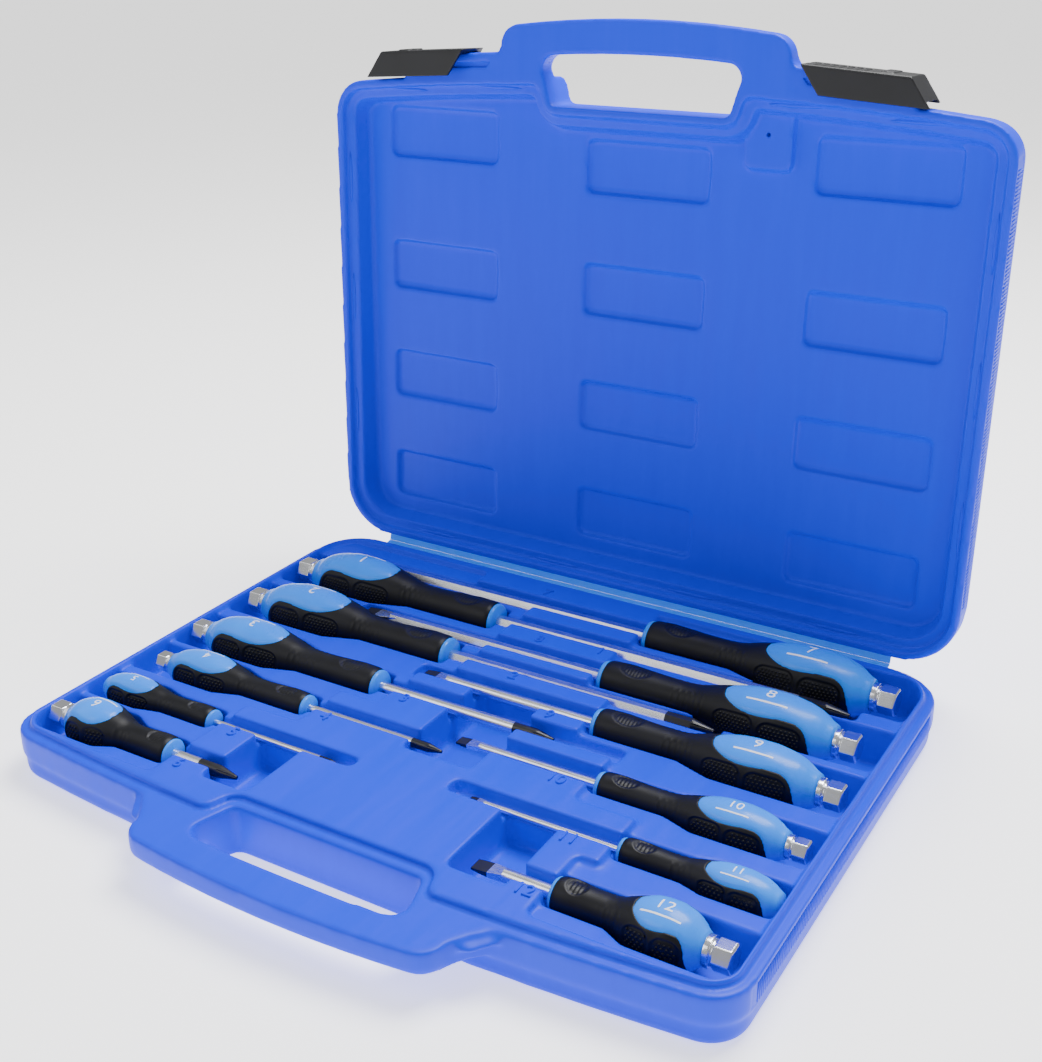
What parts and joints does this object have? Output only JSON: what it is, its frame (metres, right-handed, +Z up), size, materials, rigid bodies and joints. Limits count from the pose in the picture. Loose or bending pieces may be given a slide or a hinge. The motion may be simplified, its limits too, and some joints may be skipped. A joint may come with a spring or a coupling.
{
  "type": "screwdriver case",
  "caption": "Blow-moulded case with film hinge, sliding latches and a two-part carry handle, its tray holding slotted and cross-tip screwdrivers; lid stands open.",
  "frame": {"origin": "middle of the base's flat underside, half way between its straight back edge and the middle of its bowed front, without the carrying handle", "axes": "+X to the right along the hinge, +Y towards the hinge, +Z up"},
  "size_m": [0.38, 0.3473, 0.3356],
  "materials": {
    "blue_shell": "blow-moulded satin",
    "film_hinge": "thin satin web",
    "latch_plastic": "fine grain",
    "blade_steel": "satin chrome plate",
    "cap_steel": "bright plated",
    "handle_core": "gloss moulded",
    "soft_grip": "soft matt"
  },
  "bodies": {
    "base": {"base_shell": "blue_shell", "hinge_web_base": "film_hinge"},
    "lid": {"lid_shell": "blue_shell", "hinge_web_lid": "film_hinge"},
    "left_latch": {"latch_left": "latch_plastic"},
    "right_latch": {"latch_right": "latch_plastic"},
    "cross_4": {"cross_4_blade": "blade_steel", "cross_4_core": "handle_core", "cross_4_grip": "soft_grip", "cross_4_cap": "cap_steel"},
    "cross_3": {"cross_3_blade": "blade_steel", "cross_3_core": "handle_core", "cross_3_grip": "soft_grip", "cross_3_cap": "cap_steel"},
    "cross_2": {"cross_2_blade": "blade_steel", "cross_2_core": "handle_core", "cross_2_grip": "soft_grip", "cross_2_cap": "cap_steel"},
    "cross_1": {"cross_1_blade": "blade_steel", "cross_1_core": "handle_core", "cross_1_grip": "soft_grip", "cross_1_cap": "cap_steel"},
    "cross_0": {"cross_0_blade": "blade_steel", "cross_0_core": "handle_core", "cross_0_grip": "soft_grip"},
    "cross_2_stubby": {"cross_2_stubby_blade": "blade_steel", "cross_2_stubby_core": "handle_core", "cross_2_stubby_grip": "soft_grip", "cross_2_stubby_cap": "cap_steel"},
    "slot_9": {"slot_9_blade": "blade_steel", "slot_9_core": "handle_core", "slot_9_grip": "soft_grip", "slot_9_cap": "cap_steel"},
    "slot_8": {"slot_8_blade": "blade_steel", "slot_8_core": "handle_core", "slot_8_grip": "soft_grip", "slot_8_cap": "cap_steel"},
    "slot_6": {"slot_6_blade": "blade_steel", "slot_6_core": "handle_core", "slot_6_grip": "soft_grip", "slot_6_cap": "cap_steel"},
    "slot_5": {"slot_5_blade": "blade_steel", "slot_5_core": "handle_core", "slot_5_grip": "soft_grip", "slot_5_cap": "cap_steel"},
    "slot_3": {"slot_3_blade": "blade_steel", "slot_3_core": "handle_core", "slot_3_grip": "soft_grip"},
    "slot_6_stubby": {"slot_6_stubby_blade": "blade_steel", "slot_6_stubby_core": "handle_core", "slot_6_stubby_grip": "soft_grip", "slot_6_stubby_cap": "cap_steel"}
  },
  "joints": [
    {"name": "lid_hinge", "type": "hinge", "parent": "base", "child": "lid", "pos_m": [0, 0.1428, 0.025], "axis": [-1, 0, 0], "range_deg": [-92.45, 87.5]},
    {"name": "left_latch_slide", "type": "slide", "parent": "lid", "child": "left_latch", "axis": [0.9981, 0.0027, 0.0618], "range_m": [0, 0.017]},
    {"name": "right_latch_slide", "type": "slide", "parent": "lid", "child": "right_latch", "axis": [-0.9981, 0.0027, 0.0618], "range_m": [-0.012, 0.005]},
    {"name": "cross_4_lift", "type": "slide", "parent": "base", "child": "cross_4", "axis": [0, 0, 1], "range_m": [0, 0.06]},
    {"name": "cross_3_lift", "type": "slide", "parent": "base", "child": "cross_3", "axis": [0, 0, 1], "range_m": [0, 0.06]},
    {"name": "cross_2_lift", "type": "slide", "parent": "base", "child": "cross_2", "axis": [0, 0, 1], "range_m": [0, 0.06]},
    {"name": "cross_1_lift", "type": "slide", "parent": "base", "child": "cross_1", "axis": [0, 0, 1], "range_m": [0, 0.06]},
    {"name": "cross_0_lift", "type": "slide", "parent": "base", "child": "cross_0", "axis": [0, 0, 1], "range_m": [0, 0.06]},
    {"name": "cross_2_stubby_lift", "type": "slide", "parent": "base", "child": "cross_2_stubby", "axis": [0, 0, 1], "range_m": [0, 0.06]},
    {"name": "slot_9_lift", "type": "slide", "parent": "base", "child": "slot_9", "axis": [0, 0, 1], "range_m": [0, 0.06]},
    {"name": "slot_8_lift", "type": "slide", "parent": "base", "child": "slot_8", "axis": [0, 0, 1], "range_m": [0, 0.06]},
    {"name": "slot_6_lift", "type": "slide", "parent": "base", "child": "slot_6", "axis": [0, 0, 1], "range_m": [0, 0.06]},
    {"name": "slot_5_lift", "type": "slide", "parent": "base", "child": "slot_5", "axis": [0, 0, 1], "range_m": [0, 0.06]},
    {"name": "slot_3_lift", "type": "slide", "parent": "base", "child": "slot_3", "axis": [0, 0, 1], "range_m": [0, 0.06]},
    {"name": "slot_6_stubby_lift", "type": "slide", "parent": "base", "child": "slot_6_stubby", "axis": [0, 0, 1], "range_m": [0, 0.06]}
  ]
}
